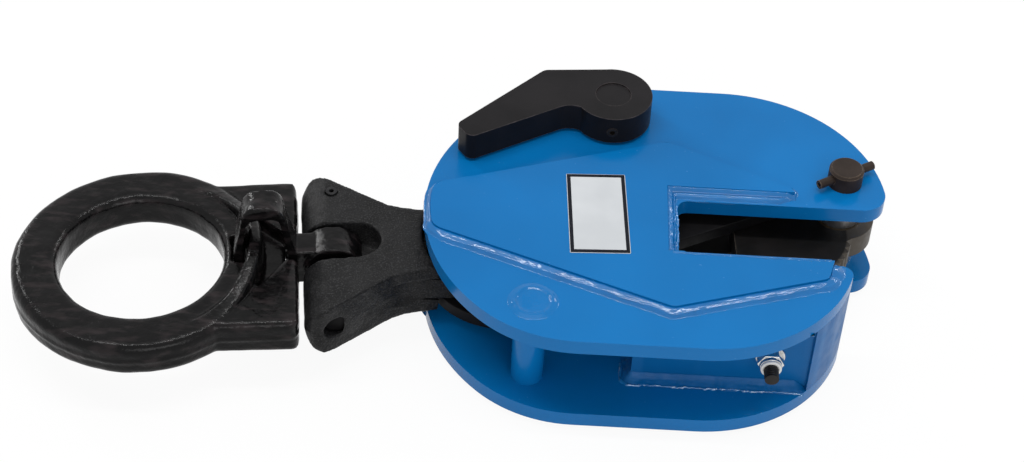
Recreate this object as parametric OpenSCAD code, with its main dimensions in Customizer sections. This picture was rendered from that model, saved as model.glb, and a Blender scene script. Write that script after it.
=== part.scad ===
// Vertical lifting clamp for steel plate, lying on its side. X runs from the lifting ring to the jaw,
// Z through the two side plates. The hoist arm's inner pin is the centre that the layout is set out from.

/* [Side plates] */
// Thickness of each side plate
plate_t = 7.2; // [5:0.1:12]
// Clear distance between the side plates
plate_gap = 37; // [34:0.5:60]
// Radius of the rounded tail end
tail_r = 84.5; // [80:0.5:95]
// Tail centre, ahead of the arm pin
tail_x = 49; // [44:0.5:54]
// Tail centre, towards the far edge
tail_y = 3; // [0:0.5:6]
// Radius of the far jaw leg's outer curve
nose_r = 70.5; // [68:0.5:74]
// Centre of the far jaw leg's curve, ahead of the arm pin
nose_x = 96.5; // [92:0.5:104]
// Radius of the near jaw leg's outer curve
near_r = 66.5; // [62:0.5:70]
// Centre of the near jaw leg's curve, ahead of the arm pin
near_x = 85; // [80:0.5:90]
// Distance from the arm pin to the straight near edge
near_edge = 75; // [72:0.5:80]
// Radius that blends the tail into the near edge
blend_r = 60; // [50:1:66]
// Rounding of the far leg's tip
far_tip_r = 11; // [6:0.5:14]
// Rounding of the near leg's tip
near_tip_r = 5; // [3:0.5:7]

/* [Throat] */
// Inner end of the throat, ahead of the arm pin
throat_x = 74.5; // [68:0.5:80]
// Throat's far wall, from the arm pin
throat_far = 13; // [11:0.5:14]
// Throat's near wall, from the arm pin
throat_near = 22.5; // [20:0.5:24]
// Rounding of the throat's inner corners
throat_r = 5; // [2:0.5:8]

/* [Reinforcing plates] */
// Thickness of the welded reinforcing plates
doubler_t = 3; // [2.5:0.1:6]
// Step between the reinforcing plate and the tail's edge
doubler_step = 2.6; // [2:0.1:6]
// Length from the arm pin to the arrow's shoulders
shoulder_x = 70.5; // [66:0.5:72]
// Half width of the arrow at its shoulders
shoulder_w = 51; // [44:0.5:54]
// Half width of the arrow where it leaves the tail
tail_w = 15.5; // [10:0.5:20]
// Leg of the weld beads
weld_leg = 4.5; // [2:0.25:6]

/* [Spacers] */
// Radius of the spacer posts between the plates
post_r = 7; // [5:0.25:9]
// Radius of the plug welds over the posts
plug_r = 9.5; // [8:0.25:12]
// Height of the plug welds
plug_h = 1.1; // [0.5:0.1:1.3]

/* [Cam] */
// Cam pin, ahead of the arm pin
cam_x = 149; // [146:0.5:152]
// Cam pin, towards the far edge
cam_y = 31; // [28:0.5:34]
// Radius of the cam pin
cam_pin_r = 7.7; // [6:0.1:8.5]
// Height of the cam pin above the upper plate
cam_pin_rise = 8.5; // [7.5:0.25:14]
// Thickness of the cam
cam_t = 11.5; // [9:0.25:14]
// Radius of the cam's toothed arc
cam_r = 31; // [28:0.5:33]
// Toothed arc's centre, behind the cam pin
arc_dx = 26; // [24:0.5:28]
// Toothed arc's centre, nearer than the cam pin
arc_dy = 13; // [11:0.5:14]
// Radius of the cam's hub
hub_r = 16; // [14:0.5:18]
// Number of teeth on the cam
cam_teeth = 15; // [8:1:24]
// Depth of the cam teeth
tooth_h = 1.9; // [0.8:0.1:2.5]

/* [Coupling plates] */
// Thickness of each coupling plate
coupling_t = 6; // [4:0.25:8]
// Radius of the coupling plates round the arm pin
coupling_big_r = 34.5; // [26:0.5:36]
// Radius of the coupling plates round the cam's link pin
coupling_small_r = 12; // [10:0.5:12.5]
// Distance from the cam pin to the link pin
link_arm = 24.5; // [23.5:0.25:26]
// Direction of the link pin from the cam pin, in degrees
link_dir = 150; // [145:1:155]
// Radius of the link pin
link_pin_r = 6; // [4:0.25:7]
// Radius of the arm pin
arm_pin_r = 7; // [5:0.25:9]

/* [Swivel jaw] */
// Jaw centre, ahead of the arm pin
jaw_x = 115; // [112:0.5:118]
// Radius of the toothed jaw pad
pad_r = 15; // [12:0.5:16]
// Depth of the pad's seat in the jaw block
pad_seat = 4; // [2:0.25:6]
// Outer face of the jaw block's wall, from the arm pin
wall_y = 52.5; // [48:0.5:58]
// Front end of the jaw block, ahead of the arm pin
block_x = 57; // [50:0.5:70]
// Radius of the jaw bolt
bolt_r = 3; // [2.5:0.25:4]

/* [Lock lever] */
// Lever shaft, ahead of the arm pin
shaft_x = 45.3; // [43:0.5:47]
// Lever shaft, towards the far edge
shaft_y = 64.7; // [63.5:0.25:66]
// Radius of the lever shaft
shaft_r = 7.9; // [6:0.1:8.4]
// Thickness of the lever
lever_t = 13.6; // [9:0.2:18]
// Radius of the lever's boss
boss_r = 17.6; // [15:0.2:20]
// Reach of the lever's handle from the shaft
handle_l = 69.5; // [60:0.5:75]
// Distance from the shaft to the handle's bend
handle_bend = 31.5; // [26:0.5:38]
// How far the handle's end lies nearer than the shaft
handle_drop = 26; // [20:0.5:30]
// Thickness of the washer under the lever
washer_t = 1.6; // [1.2:0.1:3]
// Distance from the shaft to the crank pin inside
crank_r = 14; // [13:0.25:15]

/* [Hoist arm] */
// Angle of the arm and ring at rest, in degrees
arm_swing = 7; // [0:0.5:12]
// Shift of the arm's middle line to the near side of the arm pin
hoist_shift = 2; // [0:0.25:3]
// Thickness of the arm's fork
arm_t = 26.4; // [20:0.2:30]
// Half width of the arm's neck
neck_w = 18.7; // [16:0.1:21]
// Half width of the fork at its widest
fork_w = 44.5; // [40:0.5:48]
// Distance from the arm pin to the cross pin
cross_x = 75; // [72:0.5:80]
// Distance from the cross pin to the fork's end
fork_end = 13.5; // [12:0.25:14]
// Width of the fork's slot
fork_slot = 21.5; // [19:0.5:26]
// Radius of the cross pin
cross_r = 6; // [4:0.25:7]

/* [Connecting link] */
// Width of the link's knuckle on the cross pin
knuckle_w = 15.6; // [14:0.2:17]
// Radius of the knuckle
knuckle_r = 12.6; // [10:0.1:12.8]
// Width of the link's tall eye
eye_w = 12.4; // [10:0.2:14]
// Half length of the eye along the arm
eye_l = 13.6; // [12.5:0.1:13.8]
// Half height of the eye
eye_h = 30.5; // [20:0.5:31]
// Rise of the eye's centre over the cross pin
eye_rise = 5.6; // [2.5:0.1:6]
// Thickness of the eye's legs
eye_wall = 3.8; // [3:0.1:4.2]

/* [Lifting ring] */
// Radius of the ring's hole
ring_hole_r = 35.7; // [32:0.1:37]
// Outer radius of the ring
ring_r = 55.5; // [54:0.5:62]
// Thickness of the ring
ring_t = 17; // [13:0.25:18]
// Rounding of the ring's edges
ring_edge = 4; // [1:0.25:5]
// Distance from the cross pin to the ring's centre
ring_x = 83.1; // [82.8:0.1:84]
// Half width of the ring's shoulder
shoulder_half = 44.5; // [40:0.5:50]
// Inner radius of the curved rib that the link holds
bar_in = 46.5; // [46:0.1:47]
// Thickness of that rib
bar_w = 6.5; // [5:0.25:7]
// Height of the rib's crest over the ring's faces
rib_rise = 9.5; // [5:0.25:12]
// Depth of the rib's crest under the ring's lower face
rib_drop = 2; // [2:0.25:4.5]
// Half width over which the rib rises
rib_half = 47; // [40:0.5:48]
// Play between the rib and the link's eye
eye_play = 2.8; // [1.4:0.1:3]

/* [Clearances] */
// Radial clearance of pins in their bores
fit = 0.06; // [0.02:0.01:0.1]
// Gap between faces that slide past each other
slide_gap = 0.4; // [0.3:0.05:1]

/* [Hidden] */
$fn = 96;

blue = [0.08, 0.42, 0.74];
black = [0.09, 0.09, 0.10];
steel = [0.72, 0.72, 0.73];
bronze = [0.70, 0.52, 0.28];

// Heights: the lower reinforcing plate lies on the ground
lower_z = doubler_t;
inner_z = lower_z + plate_t;
mid_z = inner_z + plate_gap / 2;
outer_z = inner_z + plate_gap;
top_z = outer_z + plate_t;

// Outline of the side plates
nose_y = tail_y + tail_r - nose_r;
far_edge = tail_y + tail_r;
near_y = near_r - near_edge;
split_y = (throat_far - throat_near) / 2;
blend_y = blend_r - near_edge;
blend_x = tail_x - sqrt(pow(tail_r - blend_r, 2) - pow(tail_y - blend_y, 2));
blend_top = tail_y + tail_r * (blend_y - tail_y) / (tail_r - blend_r);
far_tip_x = nose_x + sqrt(pow(nose_r - far_tip_r, 2) - pow(throat_far + far_tip_r - nose_y, 2));
near_tip_x = near_x + sqrt(pow(near_r - near_tip_r, 2) - pow(-throat_near - near_tip_r - near_y, 2));

// The lifting ring and the box's middle
ring_cx = cross_x + ring_x;
box_left = -ring_cx * cos(arm_swing) + hoist_shift * sin(arm_swing) - ring_r;
box_right = far_tip_x + far_tip_r;
mid_x = (box_left + box_right) / 2;
box_near = min(-near_edge, -ring_cx * sin(arm_swing) - hoist_shift * cos(arm_swing) - ring_r);
mid_y = (far_edge + box_near) / 2;

// The cam's centres
cam_c = [cam_x, cam_y];
arc_c = cam_c - [arc_dx, arc_dy];
link_c = cam_c + link_arm * [cos(link_dir), sin(link_dir)];
link_len = norm(link_c);
link_angle = atan2(link_c[1], link_c[0]);
cam_cut_x = arc_c[0] - 22;
coupling_z = cam_t / 2 + slide_gap;
pin_reach = coupling_z + coupling_t;
ring_w = 2.2;

// The pad's face stands just off the cam's lowest tooth
pad_face = arc_c[1] - cam_r - slide_gap;
seat_y = -throat_near - 1.5;

// The lock: the crank pin points the same way as the handle
shaft_c = [shaft_x, shaft_y];
spring_post_r = 3;
cam_heel = norm([cam_cut_x, arc_c[1] - cam_r * 0.75] - link_c);
post_reach = cam_heel + spring_post_r + 2.5;
handle_dir = 215;
crank_c = shaft_c + crank_r * [cos(handle_dir), sin(handle_dir)];
post_c = link_c + post_reach * [cos(188), sin(188)];
crank_pin_r = 2.6;
crank_t = 5;
spring_r = 4.6;
wire_r = 0.9;
lever_z = top_z + washer_t;
link_offset = 2.7;
slot_offset = 0.9;
bar_out = bar_in + bar_w;
slot_in = ring_hole_r + 3.4;
eye_x = ring_x - bar_in + eye_play + eye_wall - eye_l;
leg_in = ring_x - eye_x + eye_l - eye_wall;

// Rounded outline: each point is [x, y, radius], and round stretches become arcs
function unit(v) = v / norm(v);
function corner(a, p, b, n) =
    let (u = unit([a[0] - p[0], a[1] - p[1]]), v = unit([b[0] - p[0], b[1] - p[1]]),
        half = acos(u * v) / 2, r = p[2], d = r / sin(half), c = [p[0], p[1]] + unit(u + v) * d,
        s = [p[0], p[1]] + u * r / tan(half) - c, e = [p[0], p[1]] + v * r / tan(half) - c,
        a0 = atan2(s[1], s[0]), turn = atan2(s[0] * e[1] - s[1] * e[0], s * e))
    r == 0 ? [[p[0], p[1]]] : [for (i = [0:n]) c + r * [cos(a0 + turn * i / n), sin(a0 + turn * i / n)]];
function rounded(pts, n = 8) = let (m = len(pts))
    [for (i = [0:m - 1]) each corner(pts[(i + m - 1) % m], pts[i], pts[(i + 1) % m], n)];

// Puts the layout's centre so that the whole part's box is centred on the origin
module placed() {
    translate([-mid_x, -mid_y, 0]) children();
}

// The hoist arm's own frame: x runs along its middle line towards the jaw, z is zero at mid height
module hoist() {
    placed() rotate([0, 0, arm_swing]) translate([0, -hoist_shift, mid_z]) children();
}

module disc(r, z0, z1) {
    translate([0, 0, z0]) cylinder(r = r, h = z1 - z0);
}

module tube(r_out, r_in, z0, z1) {
    difference() {
        disc(r_out, z0, z1);
        disc(r_in, z0 - 1, z1 + 1);
    }
}

// A round pin or bore along Y, from y0 to y1
module bar_y(r, y0, y1) {
    translate([0, y1, 0]) rotate([90, 0, 0]) cylinder(r = r, h = y1 - y0);
}

module rect(x0, y0, x1, y1) {
    translate([x0, y0]) square([x1 - x0, y1 - y0]);
}

// Rounds a leg's tip: the waste outside a circle that touches the outer curve and the throat wall
module tip_waste(cx, cy, r, edge, tip_r, side) {
    y_c = edge + side * tip_r;
    x_c = cx + sqrt(pow(r - tip_r, 2) - pow(y_c - cy, 2));
    y_t = cy + r * (y_c - cy) / (r - tip_r);
    difference() {
        rect(x_c, min(edge, y_t), x_c + 3 * tip_r, max(edge, y_t));
        translate([x_c, y_c]) circle(tip_r);
    }
}

module throat_2d() {
    translate([throat_x + throat_r, -throat_near + throat_r]) circle(throat_r);
    translate([throat_x + throat_r, throat_far - throat_r]) circle(throat_r);
    rect(throat_x, -throat_near + throat_r, throat_x + 2 * throat_r, throat_far - throat_r);
    rect(throat_x + throat_r, -throat_near, far_tip_x + 40, throat_far);
}

module plate_2d() {
    difference() {
        union() {
            intersection() {
                union() {
                    translate([tail_x, tail_y]) circle(tail_r, $fn = 180);
                    translate([nose_x, nose_y]) circle(nose_r, $fn = 180);
                    rect(tail_x, split_y, nose_x, far_edge);
                }
                rect(-200, split_y, 300, 200);
            }
            intersection() {
                translate([tail_x, tail_y]) circle(tail_r, $fn = 180);
                rect(-200, blend_top, throat_x, split_y);
            }
            intersection() {
                union() {
                    translate([blend_x, blend_y]) circle(blend_r, $fn = 180);
                    translate([near_x, near_y]) circle(near_r, $fn = 180);
                    rect(blend_x, -near_edge, near_x, split_y);
                }
                rect(-200, -200, 300, split_y);
            }
        }
        throat_2d();
        tip_waste(nose_x, nose_y, nose_r, throat_far, far_tip_r, 1);
        tip_waste(near_x, near_y, near_r, -throat_near, near_tip_r, -1);
    }
}

module side_plate() {
    difference() {
        linear_extrude(plate_t) plate_2d();
        translate([cam_x, cam_y]) disc(cam_pin_r + fit, -1, plate_t + 1);
        translate(shaft_c) disc(shaft_r + fit, -1, plate_t + 1);
    }
}

module upper_plate() {
    color(blue) placed() translate([0, 0, outer_z]) side_plate();
}

module lower_plate() {
    color(blue) placed() translate([0, 0, lower_z]) side_plate();
}

// Arrow outline of the reinforcing plates: straight edges from the tail to the shoulders and to the jaw
far_shoulder = [shoulder_x, split_y + shoulder_w + 2];
near_shoulder = [shoulder_x + 1, split_y - shoulder_w + 1];
far_corner = [shoulder_x + 55, throat_far + 8.5];
far_arrow_tip = [shoulder_x + 56.5, throat_far];
near_corner = [shoulder_x + 67, -throat_near - 11];
near_arrow_tip = [shoulder_x + 70, -throat_near];
arrow_tail_x = tail_x - tail_r;
arrow_far = [arrow_tail_x, tail_y + tail_w - 6.5];
arrow_near = [arrow_tail_x, tail_y - tail_w + 0.5];
arrow_r = tail_r - doubler_step;
tail_corner_r = 7;
inset = 6.2;
end_inset = 4.6;

// Centre of a circle of radius r that touches the tail's curve and the straight edge from p to q
function tail_centre(p, q, r, side) = let (d = unit(q - p), n = side * [-d[1], d[0]], c = [tail_x, tail_y],
    off = (p - c) * n - r) c + off * n - sqrt(pow(arrow_r - r, 2) - off * off) * d;

// Waste outside that circle, out to the corner where the edge meets the tail's curve
module corner_waste(p, q, r, side) {
    d = unit(q - p);
    n = side * [-d[1], d[0]];
    c = [tail_x, tail_y];
    m = tail_centre(p, q, r, side);
    off = (p - c) * n;
    corner = c + off * n - sqrt(pow(arrow_r, 2) - off * off) * d;
    difference() {
        polygon([m, c + arrow_r * unit(m - c), corner - d, m + r * n]);
        translate(m) circle(r);
    }
}

// The opening stands back from the throat's inner end and far wall, to leave room for its weld
module doubler_throat_2d() {
    throat_2d();
    polygon([[throat_x - end_inset, -throat_near + 1], [throat_x + throat_r, -throat_near + 1],
        [throat_x + throat_r, 0], [far_tip_x + 40, 0], [far_tip_x + 40, throat_far + inset],
        [throat_x - end_inset, throat_far + inset]]);
}

module doubler() {
    linear_extrude(doubler_t) difference() {
        intersection() {
            union() {
                translate([tail_x, tail_y]) circle(arrow_r, $fn = 180);
                rect(tail_x, -near_edge, far_tip_x, far_edge);
            }
            polygon(rounded([[arrow_near[0], arrow_near[1], 0], [near_shoulder[0], near_shoulder[1], 4],
                [near_corner[0], near_corner[1], 4], [near_arrow_tip[0], near_arrow_tip[1], 0],
                [near_arrow_tip[0] - 4, split_y, 0], [far_arrow_tip[0] - 1, split_y, 0],
                [far_arrow_tip[0], far_arrow_tip[1], 0], [far_corner[0], far_corner[1], 3],
                [far_shoulder[0], far_shoulder[1], 8], [arrow_far[0], arrow_far[1], 0]]));
        }
        doubler_throat_2d();
        corner_waste(arrow_near, near_shoulder, tail_corner_r, -1);
        corner_waste(arrow_far, far_shoulder, tail_corner_r, 1);
    }
}

module upper_doubler() {
    color(blue) placed() translate([0, 0, top_z]) doubler();
}

module lower_doubler() {
    color(blue) placed() doubler();
}

// A fillet weld from p to q: a quarter-round strip whose two flat legs meet the plate and the edge
module bead(p, q, out, up) {
    d = q - p;
    translate([p[0], p[1], 0]) rotate([0, 0, atan2(d[1], d[0])]) rotate([90, 0, 90])
        linear_extrude(norm(d)) polygon([[0, 0], [-out, 0], [-out * 0.6, up * 0.62], [0, up]]);
}

// The same strip round a corner: c is the corner's centre, from angle a0 to a1
module bead_turn(c, r, a0, a1, out, up) {
    translate([c[0], c[1], 0]) rotate([0, 0, a0]) rotate_extrude(angle = a1 - a0)
        polygon([[r, 0], [r + out, 0], [r + out * 0.6, up * 0.62], [r, up]]);
}

function corner_centre(a, p, b, r) = let (u = unit(a - p), v = unit(b - p))
    p + unit(u + v) * r / sin(acos(u * v) / 2);
function foot(p, q, c) = let (d = unit(q - p)) p + ((c - p) * d) * d;
function heading(v) = atan2(v[1], v[0]);

module doubler_weld(up) {
    tail_c = [tail_x, tail_y];
    near_c = tail_centre(arrow_near, near_shoulder, tail_corner_r, -1);
    far_c = tail_centre(arrow_far, far_shoulder, tail_corner_r, 1);
    a_near = 360 + heading(near_c - tail_c);
    a_far = heading(far_c - tail_c);
    shoulder_c = corner_centre(arrow_near, near_shoulder, near_corner, 4);
    corner_c = corner_centre(near_shoulder, near_corner, near_arrow_tip, 4);
    d1 = heading(near_shoulder - arrow_near) - 90;
    d2 = heading(near_corner - near_shoulder) - 90;
    d3 = heading(near_arrow_tip - near_corner) - 90;
    bead(foot(arrow_near, near_shoulder, near_c), foot(arrow_near, near_shoulder, shoulder_c), weld_leg, up);
    bead_turn(shoulder_c, 4, d1, d2, weld_leg, up);
    bead(foot(near_shoulder, near_corner, shoulder_c), foot(near_shoulder, near_corner, corner_c), weld_leg,
        up);
    bead_turn(corner_c, 4, d2, d3, weld_leg, up);
    bead_turn(near_c, tail_corner_r, a_near, 360 + d1, weld_leg * 0.7, up);
    bead_turn(tail_c, arrow_r, a_far, a_near, doubler_step - 0.4, up);
    bead_turn(far_c, tail_corner_r, heading(far_shoulder - arrow_far) + 90, a_far, doubler_step - 0.4, up);
    bead([throat_x - end_inset, throat_far + inset], [far_arrow_tip[0] - 2, throat_far + inset], inset - 0.8,
        up);
    bead([throat_x - end_inset, -throat_near + 1], [throat_x - end_inset, throat_far + inset], end_inset - 0.4,
        up);
}

module upper_weld() {
    color(blue) placed() translate([0, 0, top_z]) doubler_weld(doubler_t);
}

module lower_weld() {
    color(blue) placed() translate([0, 0, lower_z]) doubler_weld(-doubler_t);
}

near_post_c = [12.5, -53.5];
far_post_c = [5, 60];

module post() {
    disc(post_r, inner_z, outer_z);
}

module near_post() {
    color(blue) placed() translate(near_post_c) post();
}

module far_post() {
    color(blue) placed() translate(far_post_c) post();
}

// A shallow dome of weld metal over each end of each post
module dome() {
    rotate_extrude() polygon([[0, 0], [plug_r, 0], [plug_r - 1.2, plug_h * 0.55], [plug_r - 3.5, plug_h * 0.88],
        [plug_r * 0.3, plug_h], [0, plug_h]]);
}

module plug_welds() {
    color(blue) placed() for (c = [near_post_c, far_post_c]) {
        translate([c[0], c[1], top_z]) dome();
        translate([c[0], c[1], lower_z]) mirror([0, 0, 1]) dome();
    }
}

// The near leg's load block: a straight wall that turns round the leg's outer curve
block_turn = 133;
module block_2d() {
    difference() {
        intersection() {
            plate_2d();
            union() {
                rect(block_x, -wall_y, block_turn, seat_y);
                rect(block_turn - 1, -near_edge, far_tip_x + 40, seat_y);
            }
        }
        polygon([[block_turn - 1, -wall_y], [block_turn + 4, -near_edge - 5], [block_turn - 20, -near_edge - 5],
            [block_turn - 20, -wall_y]]);
    }
}

module jaw_block() {
    color(blue) placed() difference() {
        translate([0, 0, inner_z]) linear_extrude(plate_gap) block_2d();
        translate([jaw_x, 0, mid_z]) {
            bar_y(bolt_r + fit, -near_edge, 0);
            bar_y(pad_r + slide_gap, seat_y - pad_seat, seat_y + 10);
        }
    }
}

module jaw_block_welds() {
    color(blue) placed() for (side = [0, 1])
        translate([0, 0, side == 0 ? inner_z : outer_z]) mirror([0, 0, side])
            bead([block_x, -wall_y], [block_turn - 4, -wall_y], weld_leg, weld_leg);
}

// Cam pin: flat head below, a cross hole and a chamfer above
clip_z = top_z + 4.2;
clip_r = 2;
clip_len = 29;
clip_dir = 31;

module cam_pin() {
    color(black) placed() translate(cam_c) difference() {
        union() {
            disc(cam_pin_r, lower_z, top_z + cam_pin_rise - 1);
            translate([0, 0, top_z + cam_pin_rise - 1])
                cylinder(r1 = cam_pin_r, r2 = cam_pin_r - 1, h = 1);
            disc(cam_pin_r + 3.3, 0.2, lower_z);
        }
        translate([0, 0, clip_z]) rotate([0, 90, clip_dir])
            translate([0, 0, -clip_len]) cylinder(r = clip_r + fit, h = 2 * clip_len);
    }
}

module cam_pin_clip() {
    color(black) placed() translate([cam_x, cam_y, clip_z]) rotate([0, 90, clip_dir]) difference() {
        translate([0, 0, -clip_len / 2]) cylinder(r = clip_r, h = clip_len);
        translate([0, 0, -clip_len]) cylinder(r = clip_r * 0.5, h = 2 * clip_len);
    }
}

module cam_spacers() {
    spacer_r = min(hub_r - 4.5, link_arm - coupling_small_r - 3);
    color(steel) placed() translate(cam_c) {
        tube(spacer_r, cam_pin_r + fit, inner_z, mid_z - cam_t / 2 - slide_gap / 2);
        tube(spacer_r, cam_pin_r + fit, mid_z + cam_t / 2 + slide_gap / 2, outer_z);
    }
}

// Swivel jaw: the bolt's head sits inside the pad, its nut outside the wall
nut_h = 6;
nut_af = 10;
jaw_washer_t = 1.2;
pad_back = seat_y - pad_seat + slide_gap / 2;
head_y = pad_face - 5;

module jaw_frame() {
    placed() translate([jaw_x, 0, mid_z]) children();
}

module jaw_bolt() {
    color(black) jaw_frame() {
        bar_y(bolt_r, -wall_y - jaw_washer_t - nut_h - 7, head_y - 3);
        difference() {
            bar_y(bolt_r * 1.7, head_y - 4, head_y);
            translate([0, head_y + 1, 0]) rotate([90, 0, 0]) cylinder(r = bolt_r * 0.85, h = 3, $fn = 6);
        }
    }
}

module jaw_washer() {
    color(steel) jaw_frame() difference() {
        bar_y(bolt_r * 2.1, -wall_y - jaw_washer_t, -wall_y);
        bar_y(bolt_r + fit, -near_edge, 0);
    }
}

module jaw_nut() {
    nut_y = -wall_y - jaw_washer_t;
    color(steel) jaw_frame() difference() {
        union() {
            translate([0, nut_y, 0]) rotate([90, 0, 0])
                cylinder(r = nut_af / sqrt(3), h = nut_h - 1.6, $fn = 6);
            bar_y(nut_af / 2 - 0.3, nut_y - nut_h, nut_y - 1);
        }
        bar_y(bolt_r + fit, -near_edge - 5, 0);
    }
}

// Toothed face: two sets of V grooves leave rows of pyramids
module jaw_pad() {
    pitch = 4;
    color(steel) jaw_frame() difference() {
        bar_y(pad_r, pad_back, pad_face);
        bar_y(bolt_r + fit, pad_back - 1, pad_face + 1);
        bar_y(bolt_r * 1.7 + slide_gap, head_y - 4 - slide_gap, pad_face + 1);
        for (i = [-4:4]) for (turn = [0, 90])
            translate([0, pad_face, 0]) rotate([0, turn, 0]) translate([i * pitch + pitch / 2, 0, -20])
                linear_extrude(40) polygon([[-1.3, 0.1], [0, -1.4], [1.3, 0.1]]);
    }
}

// Cam outline: teeth along the eccentric arc, a lug for the link pin and a hub round the cam pin
tooth_from = -8;
tooth_to = -acos((cam_cut_x - arc_c[0]) / cam_r);
function tooth_point(i) = let (a = tooth_from + (tooth_to - tooth_from) * i / (3 * cam_teeth))
    arc_c + (i % 3 == 1 ? cam_r : i % 3 == 2 ? cam_r - tooth_h * 0.15 : cam_r - tooth_h) * [cos(a), sin(a)];

module cam_2d() {
    polygon(concat([for (i = [0:3 * cam_teeth]) tooth_point(i)],
        [[cam_cut_x, arc_c[1] + 6],
         link_c + 0.99 * coupling_small_r * [cos(141), sin(141)],
         link_c + 0.99 * coupling_small_r * [cos(70), sin(70)],
         cam_c + 0.99 * hub_r * [cos(70), sin(70)], cam_c + 0.99 * hub_r * [cos(-30), sin(-30)]]));
}

bush_r = cam_pin_r + 2.4;

module cam() {
    color(black) placed() translate([0, 0, mid_z - cam_t / 2]) difference() {
        union() {
            linear_extrude(cam_t) cam_2d();
            translate(link_c) cylinder(r = coupling_small_r, h = cam_t);
            translate(cam_c) cylinder(r = hub_r, h = cam_t);
        }
        translate(cam_c) disc(bush_r + 0.03, -1, cam_t + 1);
        translate(link_c) disc(link_pin_r + fit, -1, cam_t + 1);
    }
}

module cam_bush() {
    color(bronze) placed() translate(cam_c)
        tube(bush_r, cam_pin_r + fit, mid_z - cam_t / 2, mid_z + cam_t / 2);
}

// The two coupling plates carry the arm's pull to the cam
module coupling_2d() {
    half = asin((coupling_big_r - coupling_small_r) / link_len);
    rotate(link_angle) {
        circle(coupling_big_r);
        translate([link_len, 0]) circle(coupling_small_r);
        polygon([for (s = [1, -1]) coupling_big_r * [sin(half), s * cos(half)],
            for (s = [-1, 1]) [link_len, 0] + coupling_small_r * [sin(half), s * cos(half)]]);
    }
}

module coupling() {
    linear_extrude(coupling_t) difference() {
        coupling_2d();
        circle(arm_pin_r + fit);
        translate(link_c) circle(link_pin_r + fit);
        translate(post_c) circle(spring_post_r * 0.7 + fit);
    }
}

module upper_coupling() {
    color(black) placed() translate([0, 0, mid_z + coupling_z]) coupling();
}

module lower_coupling() {
    color(black) placed() translate([0, 0, mid_z - pin_reach]) coupling();
}

module spring_post() {
    color(steel) placed() translate(post_c) {
        disc(spring_post_r, mid_z - coupling_z, mid_z + coupling_z);
        disc(spring_post_r * 0.7, mid_z - pin_reach - 0.5, mid_z + pin_reach + 0.5);
    }
}

// A pin through both coupling plates, grooved for a retaining ring at each end
groove = 1.6;
module grooved_pin(r) {
    difference() {
        disc(r, mid_z - pin_reach - ring_w - 2, mid_z + pin_reach + ring_w + 2);
        for (s = [-1, 1]) translate([0, 0, mid_z + s * (pin_reach + 0.3 + groove / 2)])
            tube(r + 1, r - 1, -groove / 2, groove / 2);
    }
}

module pin_rings(r) {
    for (s = [-1, 1]) translate([0, 0, mid_z + s * (pin_reach + 0.3 + groove / 2)]) difference() {
        tube(r + 2.4, r - 1 + fit, -groove / 2 + 0.1, groove / 2 - 0.1);
        rect_gap(r);
    }
}

module rect_gap(r) {
    translate([0, -r * 0.35, -2]) cube([r + 4, r * 0.7, 4]);
}

module link_pin() {
    color(steel) placed() translate(link_c) grooved_pin(link_pin_r);
}

module link_pin_rings() {
    color(black) placed() translate(link_c) pin_rings(link_pin_r);
}

module arm_pin() {
    color(steel) placed() grooved_pin(arm_pin_r);
}

module arm_pin_rings() {
    color(black) placed() pin_rings(arm_pin_r);
}

// Tension spring from the crank pin to the coupling's post: a close-wound body, its turns drawn as rings,
// and an eye at each end, level with the body's top
spring_dir = post_c - crank_c;
spring_len = norm(spring_dir);
hook_r = crank_pin_r + wire_r + 0.35;
post_hook_r = spring_post_r + wire_r + 0.35;
pitch = 1.9 * wire_r;
coil_from = crank_r + 2.5;
coil_turns = floor((spring_len - coil_from - post_hook_r - 3) / pitch);
coil_to = coil_from + (coil_turns - 1) * pitch;

module eye(r) {
    rotate_extrude($fn = 24) translate([r, 0]) circle(wire_r, $fn = 16);
}

module shank(x0, x1) {
    translate([x0, 0, 0]) rotate([0, 90, 0]) cylinder(r = wire_r, h = x1 - x0, $fn = 16);
}

module lock_spring() {
    color(steel) placed() translate([crank_c[0], crank_c[1], mid_z])
        rotate([0, 0, atan2(spring_dir[1], spring_dir[0])]) {
            translate([coil_from, 0, 0]) rotate([0, 90, 0]) rotate_extrude($fn = 32)
                for (i = [0:coil_turns - 1]) translate([spring_r, i * pitch]) circle(wire_r, $fn = 16);
            translate([0, 0, spring_r]) {
                eye(hook_r);
                shank(hook_r, coil_from);
                shank(coil_to, spring_len - post_hook_r);
                translate([spring_len, 0, 0]) eye(post_hook_r);
            }
        }
}

// Lock lever: a round boss and a flat handle with a bent back
pin_z = lever_z + 6;
lever_pin_r = 2.3;
module lever_2d() {
    polygon(rounded([[0, boss_r, 0], [-handle_bend, boss_r - 3, 5], [-handle_l, -handle_drop, 3.5],
        [-handle_l * 0.906, -handle_drop * 1.327, 4], [-boss_r * 0.966, -boss_r * 0.375, 10],
        [-boss_r * 0.5, -boss_r * 0.85, 0]]));
    circle(boss_r);
}

module lock_lever() {
    color(black) placed() translate([shaft_x, shaft_y, 0]) difference() {
        translate([0, 0, lever_z]) linear_extrude(lever_t) lever_2d();
        disc(shaft_r + fit, lever_z - 1, lever_z + lever_t + 1);
        translate([0, 0, pin_z]) bar_y(lever_pin_r + fit, -boss_r - 5, 0);
    }
}

module lever_pin() {
    color(steel) placed() translate([shaft_x, shaft_y, pin_z]) difference() {
        bar_y(lever_pin_r, -boss_r - 0.3, -shaft_r + 3.5);
        translate([0, -boss_r + 2, 0]) rotate([90, 0, 0]) cylinder(r = lever_pin_r * 0.6, h = 5, $fn = 6);
    }
}

module lever_washer() {
    color(steel) placed() translate(shaft_c) tube(boss_r - 2.5, shaft_r + fit, top_z, lever_z);
}

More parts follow.
